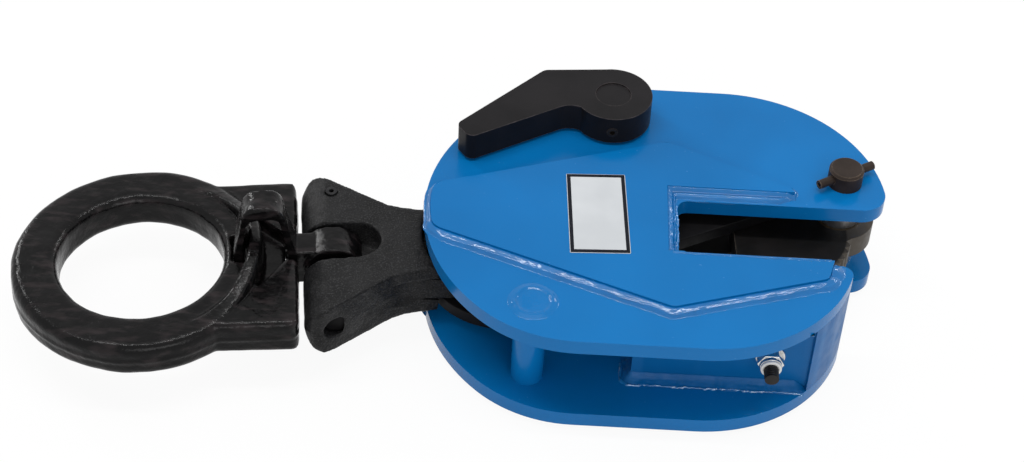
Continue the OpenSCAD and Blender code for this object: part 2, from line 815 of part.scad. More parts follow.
module lever_shaft() {
    color(black) placed() translate([shaft_x, shaft_y, 0]) difference() {
        disc(shaft_r, 0.4, lever_z + lever_t - 0.6);
        translate([0, 0, pin_z]) bar_y(lever_pin_r + fit, -boss_r - 5, -shaft_r + 3.6);
        tube(shaft_r + 1, shaft_r - 1.2, lower_z - 0.3 - groove, lower_z - 0.3);
    }
}

module shaft_ring() {
    color(steel) placed() translate(shaft_c) difference() {
        tube(shaft_r + 2.6, shaft_r - 1.2 + fit, lower_z - 0.2 - groove, lower_z - 0.4);
        rect_gap(shaft_r);
    }
}

// Crank plate on the shaft inside, with the pin that stretches the spring
module lock_crank() {
    z0 = mid_z - crank_t - 2.2;
    color(black) placed() translate([shaft_x, shaft_y, z0]) rotate([0, 0, handle_dir]) {
        linear_extrude(crank_t) difference() {
            union() {
                circle(shaft_r * 1.5);
                translate([crank_r, 0]) circle(crank_pin_r * 1.9);
                polygon([[0, -shaft_r * 1.38], [crank_r, -crank_pin_r * 1.85], [crank_r, crank_pin_r * 1.85],
                    [0, shaft_r * 1.38]]);
            }
            circle(shaft_r + 0.03);
        }
        translate([crank_r, 0, crank_t - 1])
            cylinder(r = crank_pin_r, h = mid_z + spring_r + 2 * wire_r - z0 - crank_t + 1);
    }
}

// Hoist arm: plan outline and side outline crossed, so the fork's ends are round
fork_x = cross_x + fork_end;
step_x = coupling_big_r + 2;
tongue_r = neck_w + 2.8;
lock_y = fork_w - 13;

module arm_plan() {
    polygon(rounded([[0, neck_w, 0], [-45, neck_w, 16], [-fork_x + 6, fork_w, 6], [-fork_x, fork_w - 5.5, 3],
        [-fork_x, 5.5 - fork_w, 3], [-fork_x + 6, -fork_w, 6], [-45, -neck_w, 16], [0, -neck_w, 0]]));
    translate([0, hoist_shift]) circle(tongue_r);
}

module arm_side() {
    end_r = arm_t / 2;
    translate([-fork_x + end_r, 0]) circle(end_r);
    rect(-fork_x + end_r, -end_r, -step_x - 4, end_r);
    polygon([[-step_x - 5, -end_r], [-step_x - 4, -end_r], [-step_x, -cam_t / 2], [-step_x, cam_t / 2],
        [-step_x - 4, end_r], [-step_x - 5, end_r]]);
    rect(-step_x - 2, -cam_t / 2, tongue_r + 1, cam_t / 2);
}

module hoist_arm() {
    slot_r = fork_slot / 2;
    color(black) hoist() difference() {
        intersection() {
            translate([0, 0, -arm_t]) linear_extrude(2 * arm_t) arm_plan();
            translate([0, fork_w + 5, 0]) rotate([90, 0, 0]) linear_extrude(2 * fork_w + 10) arm_side();
        }
        translate([0, hoist_shift, 0]) disc(arm_pin_r + fit, -arm_t, arm_t);
        translate([-cross_x + slot_r - 0.8, slot_offset, 0]) disc(slot_r, -arm_t, arm_t);
        translate([-fork_x - 5, slot_offset - slot_r, -arm_t]) cube([fork_end + slot_r + 4.2, fork_slot, 2 * arm_t]);
        translate([-cross_x, 0, 0]) {
            bar_y(cross_r + fit, -fork_w + 9, fork_w + 5);
            bar_y(cross_r * 0.62, -fork_w - 5, 0);
            translate([0, lock_y, 0]) disc(clip_r + 0.5 + fit, -arm_t, arm_t);
        }
    }
}

module cross_pin() {
    color(steel) hoist() translate([-cross_x, 0, 0]) difference() {
        bar_y(cross_r, -fork_w + 9.1, fork_w - 6);
        translate([0, lock_y, 0]) disc(clip_r + 0.5 + fit, -arm_t, arm_t);
    }
}

module cross_pin_lock() {
    color(black) hoist() translate([-cross_x, lock_y, 0])
        tube(clip_r + 0.5, clip_r * 0.55, -arm_t / 2 + 0.5, arm_t / 2 + 0.6);
}

// Connecting link: a knuckle on the cross pin and a tall eye round the ring's bar
module eye_2d(l, h, r, narrow) {
    polygon(rounded([[l * narrow, h, r], [l, h * 0.12, 14], [l, -h * 0.6, 6], [l * narrow, -h, r],
        [-l * narrow, -h, r], [-l, -h * 0.6, 6], [-l, h * 0.12, 14], [-l * narrow, h, r]], 8));
}

module across(w) {
    translate([0, w / 2, 0]) rotate([90, 0, 0]) linear_extrude(w) children();
}

module connecting_link() {
    neck_h = knuckle_r * 0.72;
    color(black) hoist() translate([-cross_x, link_offset, 0]) difference() {
        union() {
            bar_y(knuckle_r, -knuckle_w / 2, knuckle_w / 2);
            across(eye_w) translate([-eye_x, eye_rise]) eye_2d(eye_l, eye_h, 8, 0.6);
            across(eye_w) rect(-eye_x + eye_l - 3, -neck_h + 1, 0, neck_h + 1);
        }
        bar_y(cross_r + fit, -knuckle_w, knuckle_w);
        across(2 * eye_w) translate([-eye_x, eye_rise]) eye_2d(eye_l - eye_wall, eye_h - 7, 4.5, 0.7);
    }
}

// Lifting ring: a round band, a square shoulder, and a bar left between a slot and a pocket
module ring_band() {
    rotate_extrude($fn = 128) translate([(ring_hole_r + ring_r) / 2, 0])
        polygon(rounded([for (q = [[1, 1], [-1, 1], [-1, -1], [1, -1]])
            [q[0] * (ring_r - ring_hole_r) / 2, q[1] * ring_t / 2, ring_edge]], 5));
}

module ring_shoulder() {
    end_x = ring_x - fork_end - 2;
    edge = 3;
    intersection() {
        translate([0, 0, -ring_t]) linear_extrude(2 * ring_t) difference() {
            polygon(rounded([[0, -shoulder_half, 0], [end_x, -shoulder_half, 5], [end_x, shoulder_half, 5],
                [0, shoulder_half, 0]]));
            circle(ring_hole_r + 5);
        }
        across(3 * shoulder_half) polygon(rounded([[0, -ring_t / 2, 0], [end_x, -ring_t / 2, edge],
            [end_x, ring_t / 2, edge], [0, ring_t / 2, 0]], 4));
        rotate([90, 0, 90]) linear_extrude(end_x) polygon(rounded([for (q = [[1, 1], [-1, 1], [-1, -1], [1, -1]])
            [q[0] * shoulder_half, q[1] * ring_t / 2, edge]], 4));
    }
}

pocket_w = 28.3;
gate_w = eye_w / 2 + 1.4;
web_t = 3;
web_play = 1.4;
slot_half = asin(gate_w / slot_in);
slot_turn = asin(link_offset / bar_in);

module sector(r_in, r_out, half) {
    difference() {
        intersection() {
            circle(r_out);
            polygon([[0, 0], [2 * r_out, 2 * r_out * tan(half)], [2 * r_out, -2 * r_out * tan(half)]]);
        }
        circle(r_in);
    }
}

module pocket_2d() {
    end_x = ring_x - fork_end - 2;
    pocket_x = sqrt(bar_out * bar_out - pocket_w * pocket_w);
    difference() {
        polygon([[end_x + 5, link_offset - gate_w], [end_x - 5, link_offset - gate_w], [pocket_x, -pocket_w], [pocket_x - 8, 0],
            [pocket_x, pocket_w], [end_x - 5, link_offset + gate_w], [end_x + 5, link_offset + gate_w]]);
        circle(bar_out);
    }
}

// The rib runs round the band under the eye and swells to a crest in the middle
function rib_edge(w, rise) = ring_t / 2 - 0.02 + rise * (0.5 + 0.5 * cos(180 * w / rib_half));
module ring_rib() {
    n = 12;
    ws = [for (i = [-n:n]) rib_half * i / n];
    intersection() {
        translate([0, 0, -ring_t - rib_rise]) linear_extrude(2 * ring_t + 2 * rib_rise) sector(bar_in, bar_out, 68);
        rotate([90, 0, 90]) linear_extrude(ring_r) polygon(concat([for (w = ws) [w, rib_edge(w, rib_rise)]],
            [for (w = ws) [-w, -rib_edge(w, rib_drop)]]));
    }
}

module lifting_ring() {
    color(black) hoist() translate([-ring_cx, 0, 0]) {
        difference() {
            union() {
                ring_band();
                ring_shoulder();
                ring_rib();
            }
            translate([0, 0, -ring_t]) rotate(slot_turn) linear_extrude(2 * ring_t)
                sector(slot_in, bar_in, slot_half);
            for (s = [0, 1]) mirror([0, 0, s]) translate([0, 0, web_t / 2])
                linear_extrude(ring_t) pocket_2d();
            translate([0, 0, -ring_t]) linear_extrude(2 * ring_t) intersection() {
                pocket_2d();
                rect(leg_in - web_play, link_offset - gate_w, 200, link_offset + gate_w);
            }
        }
    }
}

upper_plate();
lower_plate();
upper_doubler();
lower_doubler();
upper_weld();
lower_weld();
near_post();
far_post();
plug_welds();
jaw_block();
jaw_block_welds();
cam_pin();
cam_pin_clip();
cam_spacers();
jaw_bolt();
jaw_washer();
jaw_nut();
jaw_pad();
cam();
cam_bush();
link_pin();
link_pin_rings();
upper_coupling();
lower_coupling();
arm_pin();
arm_pin_rings();
spring_post();
lock_spring();
lock_lever();
lever_pin();
lever_washer();
lever_shaft();
shaft_ring();
lock_crank();
hoist_arm();
cross_pin();
cross_pin_lock();
connecting_link();
lifting_ring();
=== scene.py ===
import math

import bmesh
import bpy
from mathutils import Matrix, Vector, noise


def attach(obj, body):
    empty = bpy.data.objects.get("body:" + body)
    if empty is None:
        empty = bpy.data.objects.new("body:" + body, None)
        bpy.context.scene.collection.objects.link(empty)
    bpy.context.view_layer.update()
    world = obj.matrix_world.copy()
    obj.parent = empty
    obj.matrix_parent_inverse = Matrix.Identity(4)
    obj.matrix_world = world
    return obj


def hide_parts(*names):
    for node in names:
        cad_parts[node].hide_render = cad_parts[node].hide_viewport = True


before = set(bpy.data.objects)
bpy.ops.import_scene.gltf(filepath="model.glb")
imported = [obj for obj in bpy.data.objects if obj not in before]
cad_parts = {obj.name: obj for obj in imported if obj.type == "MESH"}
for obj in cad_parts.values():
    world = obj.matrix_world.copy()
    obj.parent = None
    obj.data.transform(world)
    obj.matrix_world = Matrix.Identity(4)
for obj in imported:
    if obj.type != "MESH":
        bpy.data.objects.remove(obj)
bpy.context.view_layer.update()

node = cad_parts


# The camera stands in front and above, where the clamp was photographed from, a little rolled.
# It has a long lens: the clamp is 0.38 m long and the camera almost a metre away.
CAMERA_PLACE = (0.025749, -0.678674, 0.6878)
CAMERA_LENS, FILM_WIDTH = 75.04, 36
CAMERA_TILT, CAMERA_ROLL = math.radians(43.76), math.radians(3.09)


def placed(place, right, up, behind):
    """Where something stands and the three ways it faces, as a matrix."""
    return Matrix.Translation(place) @ Matrix((right, up, behind)).transposed().to_4x4()


level = Vector((1, 0, 0))
rise = Vector((0, math.sin(CAMERA_TILT), math.cos(CAMERA_TILT)))
back = Vector((0, -math.cos(CAMERA_TILT), math.sin(CAMERA_TILT)))
side = level * math.cos(CAMERA_ROLL) + rise * math.sin(CAMERA_ROLL)
top = rise * math.cos(CAMERA_ROLL) - level * math.sin(CAMERA_ROLL)
lens = bpy.data.cameras.new("photo_lens")
lens.lens = CAMERA_LENS
lens.sensor_width = FILM_WIDTH
lens.clip_start = 0.05
camera = bpy.data.objects.new("photo_camera", lens)
camera.matrix_world = placed(CAMERA_PLACE, side, top, back)
bpy.context.scene.collection.objects.link(camera)
bpy.context.scene.camera = camera


# The two side plates, flame-cut steel 7.2 mm thick, smoothed and sprayed with glossy blue enamel.
# Their edges are broken by hand, and the paint shows orange peel and a few specks of dust.
MM = 0.001
ARM_PIN = Vector((0.0227955, -0.0053737, 0))


def spot(x, y, z=0.0):
    """A place given in millimetres from the arm pin, and from the ground."""
    return ARM_PIN + Vector((x, y, z)) * MM


def wire_up(tree, kind, source, into, **settings):
    """Adds a step to a finish: the source goes into one socket, and others get plain values."""
    made = tree.nodes.new(kind)
    tree.links.new(source, made.inputs[into])
    for name, value in settings.items():
        made.inputs[name.replace("_", " ")].default_value = value
    return made


def mottle(tree, place, scale, detail=3.0, stretch=None):
    """A cloudy pattern of that many waves per metre, stretched along an axis if asked."""
    if stretch:
        place = wire_up(tree, "ShaderNodeMapping", place, "Vector", Scale=stretch).outputs[0]
    cloud = wire_up(tree, "ShaderNodeTexNoise", place, "Vector", Scale=scale, Detail=detail,
                    Roughness=0.55)
    return cloud.outputs["Fac"]


def remap(tree, value, low, high, to_low=0.0, to_high=1.0):
    """Spreads what lies between low and high over another range, and levels off the rest."""
    made = wire_up(tree, "ShaderNodeMapRange", value, "Value", From_Min=low, From_Max=high,
                   To_Min=to_low, To_Max=to_high)
    return made.outputs[0]


def blend_colour(tree, share, first, second):
    """Goes from the first colour to the second as the share goes from nought to one."""
    made = tree.nodes.new("ShaderNodeMix")
    made.data_type = "RGBA"
    tree.links.new(share, made.inputs["Factor"])
    for socket, value in ((made.inputs[6], first), (made.inputs[7], second)):
        if isinstance(value, bpy.types.NodeSocket):
            tree.links.new(value, socket)
        else:
            socket.default_value = (*value, 1)
    return made.outputs[2]


def worn_edge(tree, radius):
    """One along the sharp edges, nought on the flats."""
    soft = tree.nodes.new("ShaderNodeBevel")
    soft.samples = 4
    soft.inputs["Radius"].default_value = radius
    flat = tree.nodes.new("ShaderNodeNewGeometry")
    alike = wire_up(tree, "ShaderNodeVectorMath", soft.outputs[0], 0)
    alike.operation = "DOT_PRODUCT"
    tree.links.new(flat.outputs["Normal"], alike.inputs[1])
    return remap(tree, alike.outputs["Value"], 0.98, 0.90)


def finish(name, dark, light, gloss, cloud=25, grain=(), metal=0.0, shine=0.5,
           specks=None, edge=None, streaks=None, bare=None):
    """A finish clouded between two colours, with its roughness clouded between the two of gloss.
    grain lists the bumps as (waves per metre, depth in mm, stretch). specks is (colour, waves per
    metre, share covered), streaks (colour, waves per metre, stretch, strength), and edge (colour,
    width in metres, strength) where the edges are worn. bare is (colour, middle, near, far) where
    the metal shows beyond that distance from a middle."""
    made = bpy.data.materials.new(name)
    made.use_nodes = True
    tree = made.node_tree
    shader = tree.nodes["Principled BSDF"]
    place = tree.nodes.new("ShaderNodeTexCoord").outputs["Object"]
    colour = blend_colour(tree, remap(tree, mottle(tree, place, cloud), 0.35, 0.65), dark, light)
    if specks:
        tint, scale, share = specks
        dots = remap(tree, mottle(tree, place, scale, 1.0), 1 - share, 1 - share + 0.03)
        colour = blend_colour(tree, dots, colour, tint)
    if streaks:
        tint, scale, stretch, share = streaks
        lines = remap(tree, mottle(tree, place, scale, 2.0, stretch), 0.5, 0.72, 0, share)
        colour = blend_colour(tree, lines, colour, tint)
    if edge:
        tint, radius, amount = edge
        patchy = remap(tree, mottle(tree, place, 260, 4.0), 0.4, 0.62, 0.25, 1.0)
        worn = wire_up(tree, "ShaderNodeMath", worn_edge(tree, radius), 0)
        worn.operation = "MULTIPLY"
        tree.links.new(patchy, worn.inputs[1])
        colour = blend_colour(tree, remap(tree, worn.outputs[0], 0, 1, 0, amount), colour, tint)
    if bare:
        tint, middle, near, far = bare
        plan = wire_up(tree, "ShaderNodeMapping", place, "Vector", Scale=(1, 1, 0))
        away = wire_up(tree, "ShaderNodeVectorMath", plan.outputs[0], 0)
        away.operation = "DISTANCE"
        away.inputs[1].default_value = middle
        zone = remap(tree, away.outputs["Value"], near, far)
        colour = blend_colour(tree, zone, colour, tint)
        tree.links.new(zone, shader.inputs["Metallic"])
    else:
        shader.inputs["Metallic"].default_value = metal
    tree.links.new(colour, shader.inputs["Base Color"])
    uneven = remap(tree, mottle(tree, place, cloud * 7, 5.0), 0.3, 0.7, *gloss)
    tree.links.new(uneven, shader.inputs["Roughness"])
    shader.inputs["Specular IOR Level"].default_value = shine
    last = None
    for scale, depth, stretch in grain:
        bump = wire_up(tree, "ShaderNodeBump", mottle(tree, place, scale, 4.0, stretch), "Height",
                       Strength=1.0, Distance=depth * MM)
        if last:
            tree.links.new(last, bump.inputs["Normal"])
        last = bump.outputs[0]
    if last:
        tree.links.new(last, shader.inputs["Normal"])
    return made


def join_faces():
    """A step that welds a machined solid's faces together and shades them smoothly."""
    tree = bpy.data.node_groups.new("joined_faces", "GeometryNodeTree")
    for way in ("INPUT", "OUTPUT"):
        tree.interface.new_socket("Geometry", in_out=way, socket_type="NodeSocketGeometry")
    start, end = tree.nodes.new("NodeGroupInput"), tree.nodes.new("NodeGroupOutput")
    plain = wire_up(tree, "GeometryNodeRemoveAttribute", start.outputs[0], "Geometry",
                    Name="custom_normal")
    merged = wire_up(tree, "GeometryNodeMergeByDistance", plain.outputs[0], "Geometry",
                     Distance=1e-6)
    shaded = wire_up(tree, "GeometryNodeSetShadeSmooth", merged.outputs[0], "Geometry",
                     Shade_Smooth=True)
    tree.links.new(shaded.outputs[0], end.inputs[0])
    return tree


joined = join_faces()


def break_edges(name, width, paint, steps=2):
    """Dresses a solid: its sharp edges get a small round, and all of it one finish."""
    solid = node[name]
    step = solid.modifiers.new("joined", "NODES")
    step.node_group = joined
    edge = solid.modifiers.new("broken_edge", "BEVEL")
    edge.width = width * MM
    edge.segments = steps
    edge.limit_method = "ANGLE"
    edge.angle_limit = math.radians(32)
    edge.use_clamp_overlap = True
    even = solid.modifiers.new("even_light", "WEIGHTED_NORMAL")
    even.weight = 60
    for slot in solid.material_slots:
        slot.material = paint
    if not solid.material_slots:
        solid.data.materials.append(paint)


BLUE_DARK, BLUE_LIGHT = (0.0008, 0.120, 0.345), (0.0014, 0.141, 0.400)
blue_enamel = finish("blue_enamel", BLUE_DARK, BLUE_LIGHT, (0.16, 0.26), cloud=12,
                     grain=((36, 0.10, None), (620, 0.012, None)), shine=0.17,
                     specks=((0.05, 0.20, 0.46), 900, 0.22))
for plate in ("upper_plate", "lower_plate"):
    break_edges(plate, 0.7, blue_enamel)


# The arrow-shaped reinforcing plates, 3 mm steel in the same blue, laid on each side plate.
# They stand back from the tail and from the slot, so that a weld can run all round them.
for plate in ("upper_doubler", "lower_doubler"):
    break_edges(plate, 0.5, blue_enamel)


# The weld round each reinforcing plate: one convex bead laid by hand, painted over in blue.
# It runs from the near jaw leg round the tail to the far tip, and shorter ones line the slot.
PLATE_TOP, ARROW_THICK = 54.4, 3.0
weld_blue = finish("weld_blue", (0.0008, 0.112, 0.330), (0.0014, 0.136, 0.390), (0.06, 0.15),
                   cloud=60, grain=((300, 0.05, None), (1400, 0.012, None)), shine=0.40)


def arc(centre, radius, start, end, wide, ripple):
    """Points and outward directions along an arc, with the bead's width and how rippled it is."""
    count = max(4, int(abs(math.radians(end - start)) * radius / 0.5))
    out = []
    for i in range(count + 1):
        a = math.radians(start + (end - start) * i / count)
        nx, ny = math.cos(a), math.sin(a)
        out.append((centre[0] + radius * nx, centre[1] + radius * ny, nx, ny, wide, ripple))
    return out


def run(x0, y0, x1, y1, nx, ny, wide, ripple, step=0.5):
    """Points along a straight edge, with the bead on the side that (nx, ny) points to."""
    count = max(2, int(math.hypot(x1 - x0, y1 - y0) / step))
    size = math.hypot(nx, ny)
    return [(x0 + (x1 - x0) * i / count, y0 + (y1 - y0) * i / count, nx / size, ny / size,
             wide, ripple) for i in range(count + 1)]


def beside(a, b, wide, ripple):
    """A straight run between the ends of two arcs, with the bead on its left."""
    return run(a[0], a[1], b[0], b[1], a[1] - b[1], b[0] - a[0], wide, ripple)[1:-1]


def joined_path(*stretches):
    """Puts stretches end to end, and rounds off the turns between them. A (width, ripple) pair
    between two stretches is a straight run that joins them."""
    whole = []
    for i, stretch in enumerate(stretches):
        if isinstance(stretch, tuple):
            whole += beside(whole[-1], stretches[i + 1][0], *stretch)
        else:
            whole += stretch
    out = []
    for i, point in enumerate(whole):
        near = whole[max(0, i - 4):i + 5]
        mean = [sum(p[k] for p in near) / len(near) for k in range(6)]
        size = math.hypot(mean[2], mean[3])
        out.append((point[0], point[1], mean[2] / size, mean[3] / size, mean[4], mean[5]))
    return out


# Slopes across a bead from its toe, at each share of its width: a laid bead, a filled corner,
# and a thin ridge.
BEAD = ((0, 0), (0.08, 0.75), (0.30, 0.90), (0.42, 0.46), (0.78, 0.40), (0.90, 0.0), (1, -0.45))
FILL = ((0, 0), (0.15, 0.5), (0.60, 0.42), (1, 0.10))
RIDGE = ((0, 0), (0.2, 1.0), (0.5, 0), (0.8, -1.0), (1, 0))
BEAD_STEPS = 18
SCALE_LONG, SCALE_BACK = 2.1, 0.72


def swell(slopes):
    """Heights across a bead from its slopes; the highest is 1."""
    high, out = 0.0, [0.0]
    for k in range(BEAD_STEPS):
        s = (k + 0.5) / BEAD_STEPS
        for (s0, a), (s1, b) in zip(slopes, slopes[1:]):
            if s0 <= s <= s1:
                high += a + (b - a) * (s - s0) / (s1 - s0)
        out.append(high)
    return [h / max(out) for h in out]


def wander(*place):
    """A smooth unevenness, the same each time for the same place."""
    return noise.noise(Vector(place))


def new_piece(name, shape, paint, smooth=True):
    """Turns a shape into a piece in one finish, shaded smoothly unless it has flats."""
    bmesh.ops.recalc_face_normals(shape, faces=shape.faces)
    mesh = bpy.data.meshes.new(name)
    shape.to_mesh(mesh)
    shape.free()
    for face in mesh.polygons:
        face.use_smooth = smooth
    mesh.materials.append(paint)
    piece = bpy.data.objects.new(name, mesh)
    bpy.context.scene.collection.objects.link(piece)
    return piece


def skin(shape, rings, closed=True):
    """Joins each ring of points to the next one, and closes both ends."""
    for first, second in zip(rings, rings[1:]):
        for k in range(len(first)):
            n = (k + 1) % len(first)
            if len(second) == 1:
                shape.faces.new((first[k], first[n], second[0]))
            else:
                shape.faces.new((first[k], first[n], second[n], second[k]))
    shape.faces.new(list(reversed(rings[0])))
    if closed:
        shape.faces.new(rings[-1])


def lay_bead(name, path, tall, foot, up, seed, slopes=BEAD, ragged=0.10, wave=0.12, scales=0.0,
             paint=weld_blue):
    """Sweeps a run of weld along the path, tall mm high. ragged is how uneven its toe is, wave
    how streaked its face, and scales how high the overlapping scales of a slow weld are."""
    heights = swell(slopes)
    shape = bmesh.new()
    rings = []
    total = 0.0
    before = None
    for i, (x, y, nx, ny, wide, ripple) in enumerate(path):
        total += 0 if before is None else math.hypot(x - before[0], y - before[1])
        before = (x, y)
        fade = min(1.0, 0.25 + min(i, len(path) - 1 - i) * 0.10)
        toe = wander(total * 0.13, seed, 0) + 0.7 * wander(total * 0.6, seed + 2, 0)
        wide = wide * (1 + ragged * toe) * min(1.0, 0.8 + 0.2 * fade)
        crest = tall * (1 + 0.06 * wander(total * 0.3, seed + 9, 0)) * fade

        def at(out, high):
            return shape.verts.new(spot(x + nx * out, y + ny * out, foot + up * high))

        ring = [at(-0.3, -0.5), at(wide + 0.9, -0.5), at(wide + 0.7, -0.04)]
        for k in range(BEAD_STEPS + 1):
            s = k / BEAD_STEPS
            body = math.sin(math.pi * min(1.0, 0.04 + s * 1.04))
            lump = wander(total * 0.55, s * 2.5, seed + 7)
            lump += 0.5 * wander(total * 1.6, s * 5.0, seed + 8)
            streak = wave * wander(total * 0.09, s * 6.0, seed)
            streak += 0.3 * wave * wander(total * 0.7, s * 4.0, seed + 4)
            turn = (total + 1.1 * wander(total * 0.4, s * 3.0, seed + 5)) / SCALE_LONG % 1
            scale = 1 - turn / SCALE_BACK
            if turn >= SCALE_BACK:
                scale = (turn - SCALE_BACK) / (1 - SCALE_BACK)
            high = crest * heights[k] + (ripple * lump + streak + scales * scale) * body * fade
            ring.append(at(wide * (1 - s) if k < BEAD_STEPS else -0.25, max(high, 0.0)))
        rings.append(ring)
    skin(shape, rings)
    piece = new_piece(name, shape, paint)
    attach(piece, "frame")
    return piece


# The ways, in degrees, that the arrow plate's edges face, from the leg round to the far tip.
LEG_EDGE, NEAR_EDGE, NEAR_TAIL = -72.15, -111.78, 188.96
FAR_TAIL, FAR_EDGE, TIP_EDGE = 176.22, 108.88, 64.06
EVEN = 0.02
round_the_arrow = joined_path(
    arc((134.2, -30.36), 4, 35, LEG_EDGE, 5.0, 0.10), (4.8, EVEN),
    arc((71.65, -50.5), 4, LEG_EDGE, NEAR_EDGE, 4.8, EVEN), (4.8, EVEN),
    arc((-24.99, -8.66), 7, 360 + NEAR_EDGE, NEAR_TAIL, 3.4, 0.16),
    arc((49, 3), 81.9, NEAR_TAIL, FAR_TAIL, 2.2, 0.16),
    arc((-25.74, 7.94), 7, FAR_TAIL, FAR_EDGE, 2.2, 0.12), (2.3, EVEN),
    arc((69.97, 39.61), 8, FAR_EDGE, TIP_EDGE, 2.3, EVEN), (2.3, EVEN),
    arc((123.4, 20.9), 1.7, TIP_EDGE, -60, 3.0, 0.10))
far_slot_first = run(126.6, 19.3, 66.5, 19.3, 0, -1, 3.0, 0.0)
far_slot_second = joined_path(run(125.0, 18.2, 120.0, 16.5, -0.4, -1, 2.6, 0.02),
                              run(119.4, 16.4, 71.0, 16.4, 0, -1, 2.6, 0.0))
slot_end = run(69.9, 20.4, 69.9, -22.0, 1, 0, 3.4, 0.20, 0.25)
slot_end_drips = run(71.9, 18.6, 71.9, -22.1, 1, 0, 2.1, 0.25, 0.25)
near_slot_lip = run(71.5, -22.3, 139.2, -22.3, 0, -1, 1.1, 0.05)
tip_fill = run(140.9, -22.5, 138.3, -31.5, 1.6, -0.5, 5.6, 0.0)

for weld, foot, up, seed in (("upper_weld", PLATE_TOP, 1, 3.0), ("lower_weld", ARROW_THICK, -1, 8.0)):
    bead = lay_bead(weld + "_bead", round_the_arrow, ARROW_THICK * 0.72, foot, up, seed)
    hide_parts(weld)
    for part, path, tall, slopes, ragged, wave, scales in (
            ("far_slot_first", far_slot_first, 2.7, BEAD, 0.05, 0.04, 0),
            ("far_slot_second", far_slot_second, 1.6, BEAD, 0.06, 0.04, 0),
            ("slot_end", slot_end, 2.0, BEAD, 0.16, 0.15, 0.5),
            ("slot_end_drips", slot_end_drips, 1.0, RIDGE, 0.25, 0.15, 0.62),
            ("tip_fill", tip_fill, 2.8, FILL, 0.02, 0.02, 0)):
        lay_bead(weld + "_" + part, path, tall, foot, up, seed + 1, slopes, ragged, wave, scales)
lay_bead("upper_weld_slot_lip", near_slot_lip, 0.34, PLATE_TOP + ARROW_THICK, 1, 4.0, RIDGE, 0.5, 0.0)


# The two spacer posts, plain round steel, hold the side plates 37 mm apart.
# Each is plug-welded through the plates, which leaves a low dished spot of weld over its ends.
for post in ("near_post", "far_post"):
    break_edges(post, 0.2, blue_enamel)
POSTS = ((13.4, -53.3, 1.0), (5.0, 60.0, 5.0))
SPOT_RADIUS, RIM_RADIUS, DISH_RADIUS = 11.2, 7.8, 6.6
RIM_HIGH, DISH_SLOPE = 0.66, 0.43
SPOT_RINGS, SPOT_POINTS = 26, 72
spot_enamel = finish("spot_enamel", BLUE_DARK, BLUE_LIGHT, (0.06, 0.14), cloud=12,
                     grain=((260, 0.05, None), (620, 0.02, None)), shine=0.22)


def dish(r):
    """Height of a plug weld at a distance from its middle: a raised rim with a dip inside."""
    if r >= RIM_RADIUS:
        return RIM_HIGH * math.exp(-((r - RIM_RADIUS) / 1.9) ** 2)
    if r > DISH_RADIUS:
        return RIM_HIGH - DISH_SLOPE * (RIM_RADIUS - r)
    return (RIM_HIGH - DISH_SLOPE * (RIM_RADIUS - DISH_RADIUS)) * math.exp((r - DISH_RADIUS) / 0.9)


def plug_spot(shape, x, y, foot, up, seed):
    """Lays one spot of weld, which runs out level with the plate and is highest where the run
    that made it began and ended."""
    rings = []
    for k in range(SPOT_RINGS + 1):
        r = SPOT_RADIUS * (1 - k / SPOT_RINGS)
        ring = []
        for i in range(1 if k == SPOT_RINGS else SPOT_POINTS):
            a = 2 * math.pi * i / SPOT_POINTS
            lump = wander(math.cos(a) * 1.4, math.sin(a) * 1.4, seed + r * 0.12)
            fine = wander(x + r * math.cos(a) * 0.9, r * math.sin(a) * 0.9, seed)
            out = r * (1 + 0.05 * lump)
            ends = math.exp(-((r - 8.2) / 1.3) ** 2) * math.exp(-(math.sin(a - 0.25) / 0.22) ** 2)
            high = dish(r) + 0.45 * ends
            high += (0.08 * lump + 0.06 * fine) * min(1.0, max(0.0, (10.0 - r) / 2.5))
            if k < 2:
                high = (-0.5, -0.03)[k]
            ring.append(shape.verts.new(
                spot(x + out * math.cos(a), y + out * math.sin(a), foot + up * high)))
        rings.append(ring)
    skin(shape, rings, closed=False)


plugs = bmesh.new()
for x, y, seed in POSTS:
    plug_spot(plugs, x, y, PLATE_TOP, 1, seed)
    plug_spot(plugs, x, y, ARROW_THICK, -1, seed + 2)
plug_spots = new_piece("plug_weld_spots", plugs, spot_enamel)
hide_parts("plug_welds")
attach(plug_spots, "frame")


# The jaw block, a thick steel block in the near jaw leg that carries the swivel jaw.
# It is welded in between the side plates along its outer wall and round its inner end.
BLOCK_END, BLOCK_WALL = 57, -52.5
BLOCK_FOOT, BLOCK_HEAD = 10.2, 47.2
# The block and its welds take the blue enamel made about a quarter darker: painted shade for the dim
# space between the side plates. It also has lighter upright streaks.
block_enamel_painted_shade = finish("block_enamel_painted_shade", (0.0008, 0.084, 0.262), (0.0014, 0.105, 0.310), (0.30, 0.48),
                    cloud=20, grain=((60, 0.15, (1, 1, 0.2)), (500, 0.03, None)), shine=0.14,
                    streaks=((0.03, 0.16, 0.40), 110, (1, 1, 0.06), 0.5))
# The toe ridges get a glossier and lighter blue than the beads: the high shine is real gloss, the
# lighter colour a painted glint.
weld_glint = finish("weld_glint", (0.004, 0.130, 0.360), (0.02, 0.18, 0.44), (0.05, 0.12),
                    cloud=200, grain=((900, 0.05, None),), shine=0.9)
break_edges("jaw_block", 0.6, block_enamel_painted_shade)
HOLLOW = ((0, 0.5), (0.2, 0.6), (0.6, 1.0), (0.85, 1.6), (1, 1.8))
block_path = joined_path(run(BLOCK_END, -27, BLOCK_END, -51.5, -1, 0, 4.0, 0.25),
                         arc((57.8, -51.7), 0.8, 180, 270, 4.8, 0.3),
                         run(58, BLOCK_WALL, 131.2, BLOCK_WALL, 0, -1, 5.2, 0.14))
block_toe = joined_path(run(53.6, -44, 53.6, -51.5, -1, 0, 1.6, 0.45),
                        arc((57.8, -51.7), 4.4, 180, 270, 2.0, 0.45),
                        run(60, -56.3, 131.0, -56.3, 0, -1, 1.2, 0.30))
